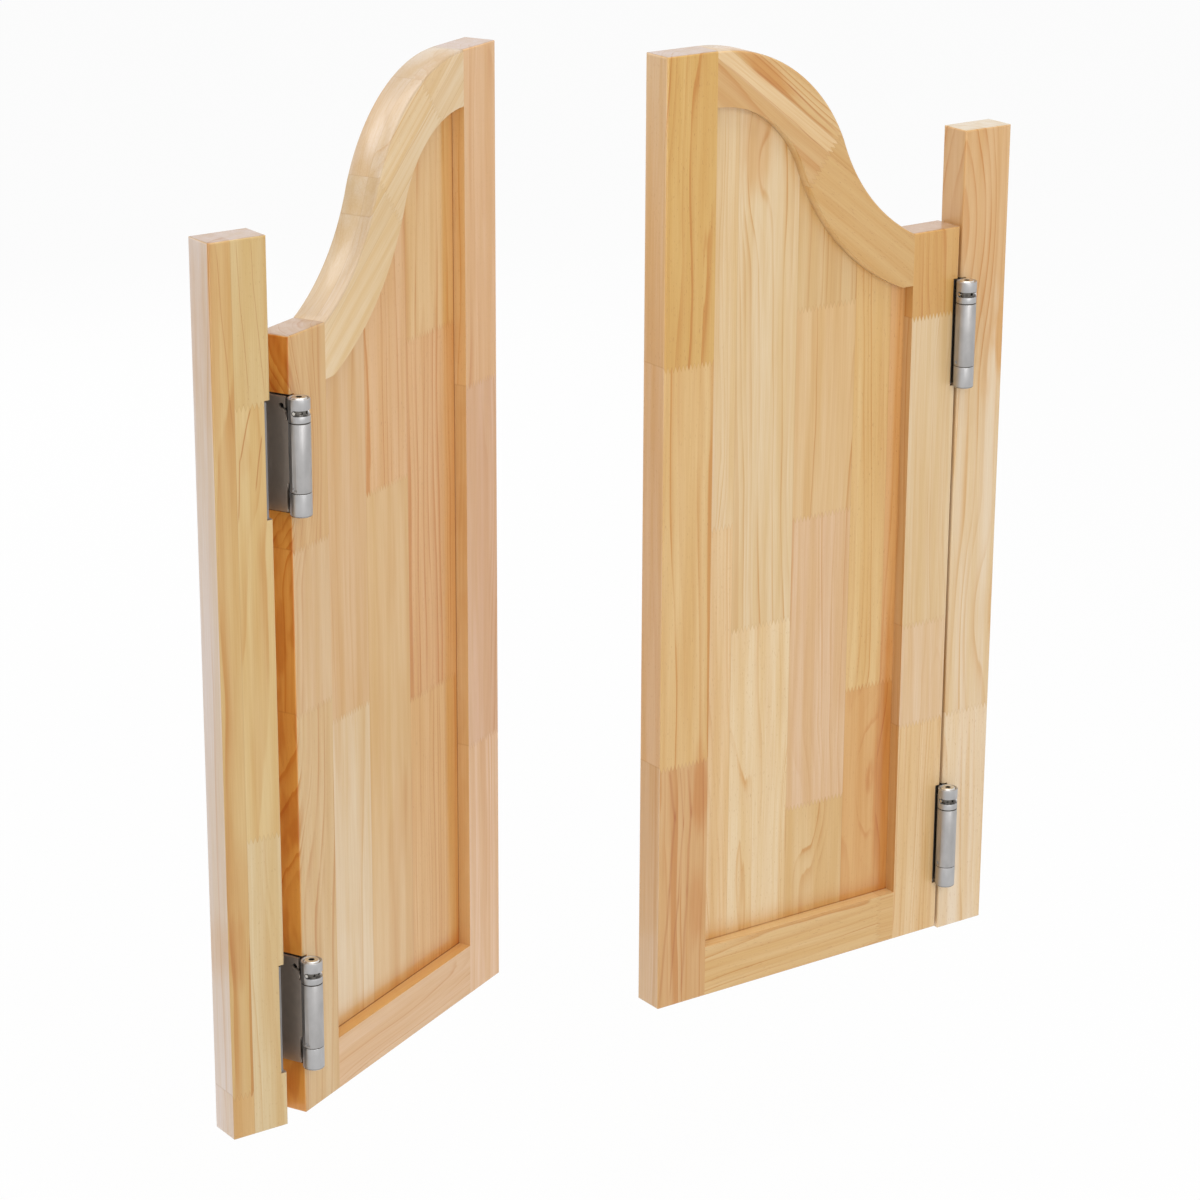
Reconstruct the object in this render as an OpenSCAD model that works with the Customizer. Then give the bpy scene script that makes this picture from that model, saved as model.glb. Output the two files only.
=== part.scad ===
// Pair of cafe swinging doors. Two framed leaves with a swept top hang from short
// wall posts on double-action spring hinges, so each leaf swings both ways and
// comes back to the middle. Millimetres: +X runs along the doorway, +Y through it
// and +Z up. The origin is the middle of the left post's outer face.

/* [Doorway] */
// Width over the outer faces of the two wall posts
doorway_w = 855; // [835:5:1100]
// Gap between a leaf and its post when the leaf is closed
hinge_gap = 3; // [2.5:0.5:4]
// How far the left leaf stands open
left_open = 26; // [0:1:56]

/* [Timber] */
// Thickness of the posts and of the leaf frames
thick = 32; // [28:1:40]
// Radius on the outer edges of the timber
ease = 2; // [1:0.5:4]
// Width of a wall post
post_w = 55; // [45:1:80]
// Height of a wall post
post_h = 800; // [760:5:900]

/* [Leaves] */
// Width of a leaf
leaf_w = 340; // [320:5:400]
// Height of a leaf at its free edge
free_h = 900; // [880:5:960]
// Height of a leaf's bottom edge above the foot of its post
leaf_lift = 3; // [0:1:20]
// Width of the two upright stiles
stile_w = 55; // [45:1:60]
// Height of the two rails
rail_h = 50; // [40:1:56]
// Thickness of the sunk panel
panel_t = 8; // [6:1:12]
// Depth of the panel's edge in its groove
panel_in = 8; // [6:1:10]

/* [Swept top] */
// Radius of the rounded crest, which starts at the free stile
crest_r = 157; // [150:1:165]
// Radius of the hollow beside the hinge stile
hollow_r = 173; // [165:1:180]
// Slope of the line that joins the centres of the two curves
sweep_lean = 21.2; // [20:0.1:22]

/* [Hinges] */
// Height of the lower hinge notch above the leaf's bottom edge
low_hinge_z = 48; // [40:1:80]
// Height of the upper hinge notch above the leaf's bottom edge
high_hinge_z = 555; // [500:1:560]
// Height of a hinge notch
notch_h = 103; // [103:1:108]
// Depth of a hinge notch
notch_d = 6; // [5.5:0.5:7]
// Height of a hinge barrel
barrel_h = 102; // [102:1:104]
// Diameter of a hinge barrel
barrel_d = 19; // [18:0.5:19]
// Distance from a face of the door to the nearer barrel's axis
barrel_off = 10; // [10:0.5:12]
// Thickness of the hinge plates
sheet = 2.2; // [2:0.1:2.4]
// Height of each end knuckle of a barrel
knuckle_h = 20.5; // [20:0.5:22]
// Thickness of the washers between knuckles and tube
washer_t = 0.8; // [0.6:0.1:1]
// Diameter of the spindle
spindle_d = 6; // [5:0.5:6]
// Diameter of the spring wire
wire_d = 2; // [1.5:0.1:2]
// Number of coils in a spring
coil_turns = 10; // [6:1:12]

/* [Hidden] */
$fn = 48;

// Colours
pine = "burlywood";
pale_pine = "wheat";
steel = "silver";
dark_steel = "dimgray";
brass = "goldenrod";

// Doorway: middle of each gap between post and leaf
left_gap_x = post_w + hinge_gap / 2;
right_gap_x = doorway_w - left_gap_x;

// Leaf frame, measured from the free edge
inner_x = leaf_w - stile_w;
panel_y = (thick - panel_t) / 2;
groove_slack = 1;

// Swept top: centres of the crest and the hollow, whose circles cross by a hair
sweep_lap = 0.15;
crest_z = free_h - crest_r;
hollow_x = stile_w + (crest_r + hollow_r - sweep_lap) * cos(sweep_lean);
hollow_z = crest_z + (crest_r + hollow_r - sweep_lap) * sin(sweep_lean);
hollow_end = 180 + acos((hollow_x - inner_x) / hollow_r);
hinge_h = hollow_z + hollow_r * sin(hollow_end);
rail_end_z = hinge_h - rail_h + 0.6;

// Dowels in the rail joints: radius, half length and heights at each joint
dowel_r = 4;
dowel_half = 20;
dowel_fit = 0.05;
low_dowels = [12, 34];
crest_dowels = [free_h - 32, free_h - 12];
hollow_dowels = [hinge_h - 31.5, hinge_h - 11.5];

// Hinge, measured up from the foot of its barrels
barrel_foot = (notch_h - barrel_h) / 2;
barrel_r = barrel_d / 2;
bore_r = barrel_r - sheet;
plate_h = barrel_h - 2;
plate_x = hinge_gap / 2 + notch_d - sheet;
plate_back = 0.6;
tube_z0 = knuckle_h + washer_t;
tube_z1 = barrel_h - knuckle_h - washer_t;
plug_h = 5;
run_fit = 0.05;
rim = 0.8;
web_clear = 13;
web_step = 5;

// Key slot beside the upper knuckle of the link
key_r = 2.4;
key_y = 17 - barrel_off;
key_z = barrel_h - 9;
key_slope = 40;

// Adjusting window, holes and stop pin; angles turn from the front towards -X
window_z = barrel_h - 12;
window_h = 5;
window_from = -48;
window_to = 86;
window_step = 0.2;
pin_angle = 88;
pin_r = 1.45;
pin_floor = 4;
hole_step = 45;

// Spindle, adjuster and washers
spindle_r = spindle_d / 2;
foot_h = 10;
cap_h = 1;
washer_r = barrel_r - 0.4;
washer_bore_r = 6;
boss_r = washer_bore_r - 0.1;
boss_drop = 2.7;
head_top = barrel_h + 0.6;
socket_r = 2.9;
socket_h = 5;

// Spring coil
coil_r = (spindle_r + bore_r) / 2;
coil_steps = 12;
coil_sides = 5;
coil_z0 = tube_z0 + plug_h;
coil_z1 = tube_z1 + washer_t - boss_drop;

// Flange screws: [across the plate, up the barrel], and their sizes
screw_spots = [[8, 14], [23, 38], [8, 64], [23, 88]];
screw_r = 2;
screw_head_r = 3.9;
screw_head_h = 1.9;
screw_len = 24;
screw_tip = 4;

// ---------- placing ----------

// Moves the model from the left post's foot to its origin
module placed() translate([0, -thick / 2, -post_h / 2]) children();

// Turns the left leaf and its links open about their fixed barrels
module swung_left() {
  placed()
    translate([left_gap_x, thick + barrel_off, 0])
      rotate([0, 0, left_open])
        translate([-left_gap_x, -thick - barrel_off, 0])
          children();
}

// Puts a leaf piece, drawn from the free edge, into its closed place
module in_left_leaf() {
  translate([left_gap_x + hinge_gap / 2 + leaf_w, 0, leaf_lift]) mirror([1, 0, 0]) children();
}
module in_right_leaf() {
  translate([right_gap_x - hinge_gap / 2 - leaf_w, 0, leaf_lift]) children();
}

// Puts a hinge piece, drawn from the middle of the gap, at one of the four hinges
module at_hinge(gap_x, hinge_z) translate([gap_x, 0, leaf_lift + hinge_z + barrel_foot]) children();
module at_left_hinges() for (z = [low_hinge_z, high_hinge_z]) at_hinge(left_gap_x, z) children();
module at_right_hinges() for (z = [low_hinge_z, high_hinge_z]) at_hinge(right_gap_x, z) children();

// The two halves of a hinge are the same piece, turned half a turn about its middle
module front_half() children();
module back_half() translate([0, thick, 0]) rotate([0, 0, 180]) children();
module both_halves() {
  front_half() children();
  back_half() children();
}

// ---------- timber ----------

// Rectangle with the corners of its chosen ends rounded
module eased_rect(w, d, low = true, high = true) {
  start = low ? ease : 0;
  end = high ? w - ease : w;
  translate([start, 0]) square([end - start, d]);
  translate([0, ease]) square([w, d - 2 * ease]);
  for (x = [start, end])
    for (y = [ease, d - ease])
      if (x > 0 && x < w) translate([x, y]) circle(ease);
}

// Stands a flat outline up in the middle of the leaf's thickness
module stood(t, y = 0) translate([0, y + t, 0]) rotate([90, 0, 0]) linear_extrude(t) children();

// Upright board with eased ends and eased long edges on its chosen sides
module upright(w, h, low = true, high = true) {
  intersection() {
    linear_extrude(h) eased_rect(w, thick, low, high);
    rotate([90, 0, 90]) linear_extrude(w) eased_rect(thick, h);
    stood(thick) eased_rect(w, h, low, high);
  }
}

// Everything below the swept top, with its edge set in by a distance
module under_sweep(inset) {
  difference() {
    union() {
      square([stile_w, free_h - inset]);
      translate([stile_w, crest_z]) circle(crest_r - inset, $fn = 180);
      square([inner_x + panel_in + 2, crest_z + (crest_r - inset) * sin(sweep_lean)]);
    }
    translate([hollow_x, hollow_z]) circle(hollow_r + inset, $fn = 180);
  }
}

// Panel outline up to a distance below the swept top; depth is how far it enters
// the stiles and the bottom rail
module panel_outline(depth, inset) {
  intersection() {
    union() {
      under_sweep(inset);
      square([leaf_w, rail_end_z + rail_h - inset]);
    }
    translate([stile_w - depth, rail_h - depth])
      square([inner_x - stile_w + 2 * depth, free_h]);
  }
}

// Cross-section of the wood taken off an eased edge, with two flats in place of the
// arc: x crosses the edge's surface, with the wood on the inward side, and y runs
// into the thickness; both flats run on past the wood
module ease_section(inward) {
  flat = 0.3 * ease;
  beyond = 1;
  polygon([
    [-inward * beyond, -beyond], [-inward * beyond, ease + beyond],
    [-inward * beyond * flat / (ease - flat), ease + beyond],
    [inward * flat, flat],
    [inward * (ease + beyond * (ease - flat) / flat), -beyond]
  ]);
}

// Eases both edges along a curve of the swept top; inward is 1 where the wood lies
// outside the curve's radius and -1 where it lies inside
module sweep_ease(x, z, r, from, to, inward) {
  for (side = [0, 1])
    translate([x, side * thick, z]) mirror([0, 1 - side, 0])
      rotate([90, 0, 0]) rotate([0, 0, from])
        rotate_extrude(angle = to - from, $fn = 180)
          translate([r, 0]) ease_section(inward);
}

// Dowels across a joint, drawn along X from the middle of the joint
module dowel_row(x, heights, r, half) {
  for (z = heights)
    translate([x - half, thick / 2, z]) rotate([0, 90, 0]) cylinder(r = r, h = 2 * half);
}
module leaf_dowels(r, half) {
  dowel_row(stile_w, low_dowels, r, half);
  dowel_row(inner_x, low_dowels, r, half);
  dowel_row(stile_w, crest_dowels, r, half);
  dowel_row(inner_x, hollow_dowels, r, half);
}
module dowel_bores() leaf_dowels(dowel_r + dowel_fit, dowel_half + 0.5);

// Groove along the inner edges of the frame, a little deeper than the panel's edge
module panel_groove() {
  stood(panel_t, panel_y)
    intersection() {
      panel_outline(panel_in + groove_slack, rail_h - panel_in - groove_slack);
      translate([0, rail_h - panel_in]) square([leaf_w, free_h]);
    }
}

module free_stile() {
  difference() {
    upright(stile_w, free_h, true, false);
    panel_groove();
    dowel_bores();
  }
}

module hinge_stile() {
  difference() {
    translate([inner_x, 0, 0]) upright(stile_w, hinge_h, false, true);
    panel_groove();
    dowel_bores();
    for (z = [low_hinge_z, high_hinge_z])
      translate([leaf_w - notch_d, -1, z]) cube([notch_d + 1, thick + 2, notch_h]);
  }
}

// The curves' easing runs on into the air past each end and past their crossing
module top_rail() {
  run_on = 3;
  difference() {
    stood(thick)
      intersection() {
        difference() {
          under_sweep(0);
          panel_outline(0, rail_h);
        }
        translate([stile_w, rail_end_z]) square([inner_x - stile_w, free_h]);
      }
    panel_groove();
    dowel_bores();
    sweep_ease(stile_w, crest_z, crest_r, sweep_lean, 90 + run_on, -1);
    sweep_ease(hollow_x, hollow_z, hollow_r, 180 + sweep_lean - run_on, hollow_end + run_on, 1);
  }
}

// Square bar along X with its two bottom edges eased
module bottom_rail() {
  difference() {
    translate([stile_w, thick, 0]) rotate([90, 0, 90]) rotate(90)
      linear_extrude(inner_x - stile_w) eased_rect(rail_h, thick, true, false);
    panel_groove();
    dowel_bores();
  }
}

module panel() stood(panel_t, panel_y) panel_outline(panel_in, rail_h - panel_in);

// Wall post with the two hinge notches in its inner edge
module post() {
  difference() {
    upright(post_w, post_h);
    for (z = [low_hinge_z, high_hinge_z])
      translate([post_w - notch_d, -1, leaf_lift + z]) cube([notch_d + 1, thick + 2, notch_h]);
  }
}

// ---------- hinge, drawn with its plate on +X and its barrel in front ----------

// A piece on the barrel's axis
module on_barrel() translate([0, -barrel_off, 0]) children();

// Points a piece out from the barrel's axis, turned from the front towards -X
module radial(angle, z) on_barrel() translate([0, 0, z]) rotate([0, 0, -90 - angle]) rotate([0, 90, 0]) children();

// End knuckle with small chamfers on its outer edges
module knuckle(h) {
  chamfer = 0.4;
  rotate_extrude()
    polygon([
      [0, 0], [barrel_r - chamfer, 0], [barrel_r, chamfer],
      [barrel_r, h - chamfer], [barrel_r - chamfer, h], [0, h]
    ]);
}

// Oblong adjusting window round the upper knuckle
module adjusting_window() {
  on_barrel()
    translate([0, 0, window_z - window_h / 2])
      rotate([0, 0, -90 - window_to])
        rotate_extrude(angle = window_to - window_from)
          translate([bore_r - 1, 0]) square([barrel_r - bore_r + 2, window_h]);
  for (angle = [window_from, window_to])
    radial(angle, window_z) translate([0, 0, bore_r - 1.5]) cylinder(d = window_h - 2 * window_step, h = sheet + 3);
}

// Screw, drawn along +X into the timber from the plate's inner face
module screw_shank(r, len) rotate([0, 90, 0]) cylinder(r = r, h = len);
module at_screws() for (spot = screw_spots) translate([plate_x, spot[0], spot[1]]) children();

module flange() {
  difference() {
    union() {
      translate([plate_x, plate_back, 1]) cube([sheet, thick - 2 * plate_back, plate_h]);
      translate([plate_x, -barrel_off, 1]) cube([sheet, barrel_off + 2, knuckle_h - 1.5]);
      translate([plate_x, -barrel_off, barrel_h - knuckle_h + 0.5])
        cube([sheet, barrel_off + 2, knuckle_h - 1.5]);
      on_barrel() translate([0, 0, cap_h]) knuckle(knuckle_h - cap_h);
      on_barrel() translate([0, 0, barrel_h - knuckle_h]) knuckle(knuckle_h);
    }
    on_barrel() cylinder(r = bore_r, h = barrel_h + 1);
    on_barrel() translate([0, 0, barrel_h - rim]) cylinder(r1 = bore_r, r2 = bore_r + rim, h = rim + 0.01);
    adjusting_window();
    at_screws() translate([-1, 0, 0]) screw_shank(screw_r + 0.25, sheet + 2);
    at_screws() rotate([0, 90, 0])
      cylinder(r1 = screw_head_r + run_fit, r2 = screw_r + run_fit, h = screw_head_h);
  }
}

module pilot_holes() at_screws() screw_shank(screw_r + run_fit, screw_len + 1);

module screws() {
  at_screws()
    difference() {
      rotate([0, 90, 0])
        rotate_extrude()
          polygon([
            [0, 0], [screw_head_r, 0], [screw_r, screw_head_h],
            [screw_r, screw_len - screw_tip], [0, screw_len]
          ]);
      for (turn = [0, 90])
        rotate([turn, 0, 0]) translate([-1, -0.4, -2.2]) cube([2.1, 0.8, 4.4]);
    }
}

// Middle tubes of both barrels, joined by a web that lies in the gap
module link() {
  difference() {
    union() {
      difference() {
        translate([-sheet / 2, -barrel_off, 1]) cube([sheet, thick + 2 * barrel_off, plate_h]);
        both_halves() {
          translate([-sheet, -barrel_off - 1, tube_z1]) cube([2 * sheet, web_clear + 1, barrel_h]);
          translate([-sheet, -barrel_off - 1, 0]) cube([2 * sheet, web_clear + 1, tube_z0 + web_step]);
          key_slot();
        }
      }
      both_halves() on_barrel() translate([0, 0, tube_z0]) cylinder(r = barrel_r, h = tube_z1 - tube_z0);
    }
    both_halves() on_barrel() translate([0, 0, coil_z0]) cylinder(r = bore_r, h = barrel_h);
    both_halves() on_barrel() cylinder(r = spindle_r + run_fit, h = barrel_h);
    both_halves() radial(90, tube_z0 + 3.8) translate([0, 0, barrel_r - 1.2]) cylinder(r = 1.8, h = 3);
  }
}

// Round hole with a slot that slopes down to the web's edge
module key_slot() {
  translate([-sheet, key_y, key_z]) {
    rotate([0, 90, 0]) cylinder(r = key_r, h = 2 * sheet);
    rotate([key_slope, 0, 0]) translate([0, -key_y, -key_r / 2]) cube([2 * sheet, key_y, key_r]);
  }
}

// Fixed spindle: a cap and a foot in the lower knuckle, and the rod through the barrel
module spindle() {
  on_barrel()
    rotate_extrude()
      polygon([
        [0, 0], [barrel_r - 0.8, 0], [barrel_r - 0.2, cap_h - 0.4], [barrel_r - 0.2, cap_h],
        [bore_r - run_fit, cap_h], [bore_r - run_fit, foot_h], [spindle_r, foot_h],
        [spindle_r, head_top - socket_h - 3], [0, head_top - socket_h - 3]
      ]);
}

// Adjuster that winds the spring: hex socket on top, ring of holes behind the window
module adjuster() {
  difference() {
    on_barrel()
      rotate_extrude()
        polygon([
          [spindle_r + run_fit, coil_z1], [boss_r, coil_z1],
          [boss_r, barrel_h - knuckle_h], [bore_r - run_fit, barrel_h - knuckle_h],
          [bore_r - run_fit, barrel_h - 0.6], [bore_r - 1.1, head_top], [0, head_top],
          [0, head_top - socket_h - 2], [spindle_r + run_fit, head_top - socket_h - 2]
        ]);
    on_barrel() translate([0, 0, head_top - socket_h]) cylinder(r = socket_r, h = socket_h + 1, $fn = 6);
    for (i = [0 : 360 / hole_step - 1])
      radial(pin_angle - i * hole_step, window_z) translate([0, 0, pin_floor]) cylinder(r = pin_r + run_fit, h = 6);
  }
}

module stop_pin() radial(pin_angle, window_z) translate([0, 0, pin_floor]) cylinder(r = pin_r, h = 5);

module washers() {
  for (z = [knuckle_h, barrel_h - knuckle_h - washer_t])
    on_barrel() translate([0, 0, z])
      difference() {
        cylinder(r = washer_r, h = washer_t);
        translate([0, 0, -1]) cylinder(r = washer_bore_r, h = washer_t + 2);
      }
}

// Torsion spring: a round wire wound round the spindle, as a swept polyhedron
module spring() {
  steps = coil_turns * coil_steps;
  rise = (coil_z1 - coil_z0 - wire_d) / steps;
  points = [
    for (i = [0 : steps], j = [0 : coil_sides - 1])
      let (
        turn = 360 * i / coil_steps,
        side = 360 * j / coil_sides,
        r = coil_r + wire_d / 2 * cos(side)
      )
        [r * cos(turn), r * sin(turn), coil_z0 + wire_d / 2 * (1 + sin(side)) + rise * i]
  ];
  walls = [
    for (i = [0 : steps - 1], j = [0 : coil_sides - 1])
      let (a = i * coil_sides + j, b = i * coil_sides + (j + 1) % coil_sides)
        each [[a, b, a + coil_sides], [b, b + coil_sides, a + coil_sides]]
  ];
  ends = [
    [for (j = [coil_sides - 1 : -1 : 0]) j],
    [for (j = [0 : coil_sides - 1]) steps * coil_sides + j]
  ];
  on_barrel() polyhedron(points, concat(walls, ends));
}

// ---------- nodes ----------

module left_post() color(pine) placed() difference() {
  post();
  at_left_hinges() back_half() pilot_holes();
}
module left_free_stile() color(pine) swung_left() in_left_leaf() free_stile();
module left_hinge_stile() color(pine) swung_left() difference() {
  in_left_leaf() hinge_stile();
  at_left_hinges() front_half() pilot_holes();
}
module left_top_rail() color(pale_pine) swung_left() in_left_leaf() top_rail();
module left_bottom_rail() color(pale_pine) swung_left() in_left_leaf() bottom_rail();
module left_panel() color(pale_pine) swung_left() in_left_leaf() panel();
module left_leaf_dowels() color(pine) swung_left() in_left_leaf() leaf_dowels(dowel_r, dowel_half);

module right_post() color(pine) placed() difference() {
  translate([doorway_w, 0, 0]) mirror([1, 0, 0]) post();
  at_right_hinges() front_half() pilot_holes();
}
module right_free_stile() color(pine) placed() in_right_leaf() free_stile();
module right_hinge_stile() color(pine) placed() difference() {
  in_right_leaf() hinge_stile();
  at_right_hinges() back_half() pilot_holes();
}
module right_top_rail() color(pale_pine) placed() in_right_leaf() top_rail();
module right_bottom_rail() color(pale_pine) placed() in_right_leaf() bottom_rail();
module right_panel() color(pale_pine) placed() in_right_leaf() panel();
module right_leaf_dowels() color(pine) placed() in_right_leaf() leaf_dowels(dowel_r, dowel_half);

// Pieces of the left hinges: the post's half is at the back, the door's half in front
module left_fixed(z) placed() at_hinge(left_gap_x, z) back_half() children();
module left_moving(z) swung_left() at_hinge(left_gap_x, z) front_half() children();

module left_upper_post_flange() color(steel) left_fixed(high_hinge_z) flange();
module left_upper_door_flange() color(steel) left_moving(high_hinge_z) flange();
module left_upper_link() color(steel) left_moving(high_hinge_z) link();
module left_upper_post_spindle() color(dark_steel) left_fixed(high_hinge_z) spindle();
module left_upper_door_spindle() color(dark_steel) left_moving(high_hinge_z) spindle();
module left_upper_post_adjuster() color(steel) left_fixed(high_hinge_z) adjuster();
module left_upper_door_adjuster() color(steel) left_moving(high_hinge_z) adjuster();
module left_upper_post_spring() color(dark_steel) left_fixed(high_hinge_z) spring();
module left_upper_door_spring() color(dark_steel) left_moving(high_hinge_z) spring();

module left_lower_post_flange() color(steel) left_fixed(low_hinge_z) flange();
module left_lower_door_flange() color(steel) left_moving(low_hinge_z) flange();
module left_lower_link() color(steel) left_moving(low_hinge_z) link();
module left_lower_post_spindle() color(dark_steel) left_fixed(low_hinge_z) spindle();
module left_lower_door_spindle() color(dark_steel) left_moving(low_hinge_z) spindle();
module left_lower_post_adjuster() color(steel) left_fixed(low_hinge_z) adjuster();
module left_lower_door_adjuster() color(steel) left_moving(low_hinge_z) adjuster();
module left_lower_post_spring() color(dark_steel) left_fixed(low_hinge_z) spring();
module left_lower_door_spring() color(dark_steel) left_moving(low_hinge_z) spring();

// Pieces of the right hinges: the post's half is in front, the door's half at the back
module right_front(z) placed() at_hinge(right_gap_x, z) front_half() children();
module right_back(z) placed() at_hinge(right_gap_x, z) back_half() children();

module right_upper_post_flange() color(steel) right_front(high_hinge_z) flange();
module right_upper_door_flange() color(steel) right_back(high_hinge_z) flange();
module right_upper_link() color(steel) right_front(high_hinge_z) link();
module right_upper_post_spindle() color(dark_steel) right_front(high_hinge_z) spindle();
module right_upper_door_spindle() color(dark_steel) right_back(high_hinge_z) spindle();
module right_upper_post_adjuster() color(steel) right_front(high_hinge_z) adjuster();
module right_upper_door_adjuster() color(steel) right_back(high_hinge_z) adjuster();
module right_upper_post_spring() color(dark_steel) right_front(high_hinge_z) spring();
module right_upper_door_spring() color(dark_steel) right_back(high_hinge_z) spring();

module right_lower_post_flange() color(steel) right_front(low_hinge_z) flange();
module right_lower_door_flange() color(steel) right_back(low_hinge_z) flange();
module right_lower_link() color(steel) right_front(low_hinge_z) link();
module right_lower_post_spindle() color(dark_steel) right_front(low_hinge_z) spindle();
module right_lower_door_spindle() color(dark_steel) right_back(low_hinge_z) spindle();
module right_lower_post_adjuster() color(steel) right_front(low_hinge_z) adjuster();
module right_lower_door_adjuster() color(steel) right_back(low_hinge_z) adjuster();
module right_lower_post_spring() color(dark_steel) right_front(low_hinge_z) spring();
module right_lower_door_spring() color(dark_steel) right_back(low_hinge_z) spring();

// Small pieces that come in sets, one node for each body that carries them
module left_post_screws() color(steel) placed() at_left_hinges() back_half() screws();
module left_leaf_screws() color(steel) swung_left() at_left_hinges() front_half() screws();
module right_post_screws() color(steel) placed() at_right_hinges() front_half() screws();
module right_leaf_screws() color(steel) placed() at_right_hinges() back_half() screws();

module left_post_stop_pins() color(steel) placed() at_left_hinges() back_half() stop_pin();
module left_leaf_stop_pins() color(steel) swung_left() at_left_hinges() front_half() stop_pin();
module right_post_stop_pins() color(steel) placed() at_right_hinges() front_half() stop_pin();
module right_leaf_stop_pins() color(steel) placed() at_right_hinges() back_half() stop_pin();

module left_link_washers() color(brass) swung_left() at_left_hinges() both_halves() washers();
module right_link_washers() color(brass) placed() at_right_hinges() both_halves() washers();

left_post();
left_free_stile();
left_hinge_stile();
left_top_rail();
left_bottom_rail();
left_panel();
left_leaf_dowels();
right_post();
right_free_stile();
right_hinge_stile();
right_top_rail();
right_bottom_rail();
right_panel();
right_leaf_dowels();
left_upper_post_flange();
left_upper_door_flange();
left_upper_link();
left_upper_post_spindle();
left_upper_door_spindle();
left_upper_post_adjuster();
left_upper_door_adjuster();
left_upper_post_spring();
left_upper_door_spring();
left_lower_post_flange();
left_lower_door_flange();
left_lower_link();
left_lower_post_spindle();
left_lower_door_spindle();
left_lower_post_adjuster();
left_lower_door_adjuster();
left_lower_post_spring();
left_lower_door_spring();
right_upper_post_flange();
right_upper_door_flange();
right_upper_link();
right_upper_post_spindle();
right_upper_door_spindle();
right_upper_post_adjuster();
right_upper_door_adjuster();
right_upper_post_spring();
right_upper_door_spring();
right_lower_post_flange();
right_lower_door_flange();
right_lower_link();
right_lower_post_spindle();
right_lower_door_spindle();
right_lower_post_adjuster();
right_lower_door_adjuster();
right_lower_post_spring();
right_lower_door_spring();
left_post_screws();
left_leaf_screws();
right_post_screws();
right_leaf_screws();
left_post_stop_pins();
left_leaf_stop_pins();
right_post_stop_pins();
right_leaf_stop_pins();
left_link_washers();
right_link_washers();
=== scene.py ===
"""Looks for the pair of cafe swinging doors: lacquered finger-jointed pine and satin steel."""

import math
from collections import namedtuple

import bpy
from mathutils import Matrix, Vector

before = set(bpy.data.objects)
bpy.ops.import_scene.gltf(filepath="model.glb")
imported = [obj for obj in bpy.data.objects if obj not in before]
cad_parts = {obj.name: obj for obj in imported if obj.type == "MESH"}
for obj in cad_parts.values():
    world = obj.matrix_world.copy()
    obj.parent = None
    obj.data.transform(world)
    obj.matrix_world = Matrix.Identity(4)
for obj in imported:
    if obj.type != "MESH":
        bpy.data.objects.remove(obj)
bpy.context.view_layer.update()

# ---------- sizes shared with the CAD model, in millimetres ----------

DOORWAY_W = 855  # over both posts
POST_W = 55
POST_H = 800
THICK = 32  # of posts and leaves
HINGE_GAP = 3  # between a post and its closed leaf
LEAF_W = 340
LEAF_LIFT = 3  # from a post's bottom up to a leaf's
BARREL_OFF = 10  # from the timber's face to a barrel's axis
LEFT_OPEN = math.radians(26)  # how far the left leaf stands open

GAP_X = POST_W + HINGE_GAP / 2  # from a post's outer face to the barrels' axes
LEAF_FAR_EDGE = POST_W + HINGE_GAP + LEAF_W

PER_M = 1000
MM = 1 / PER_M
TO_MM = (PER_M, PER_M, PER_M)
TO_MM_MIRRORED = (-PER_M, PER_M, PER_M)


# ---------- node helpers ----------


def srgb(red, green, blue):
    """Linear colour of an 8-bit screen colour."""
    def linear(value):
        value /= 255
        return value / 12.92 if value <= 0.04045 else ((value + 0.055) / 1.055) ** 2.4
    return (linear(red), linear(green), linear(blue), 1)


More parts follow.
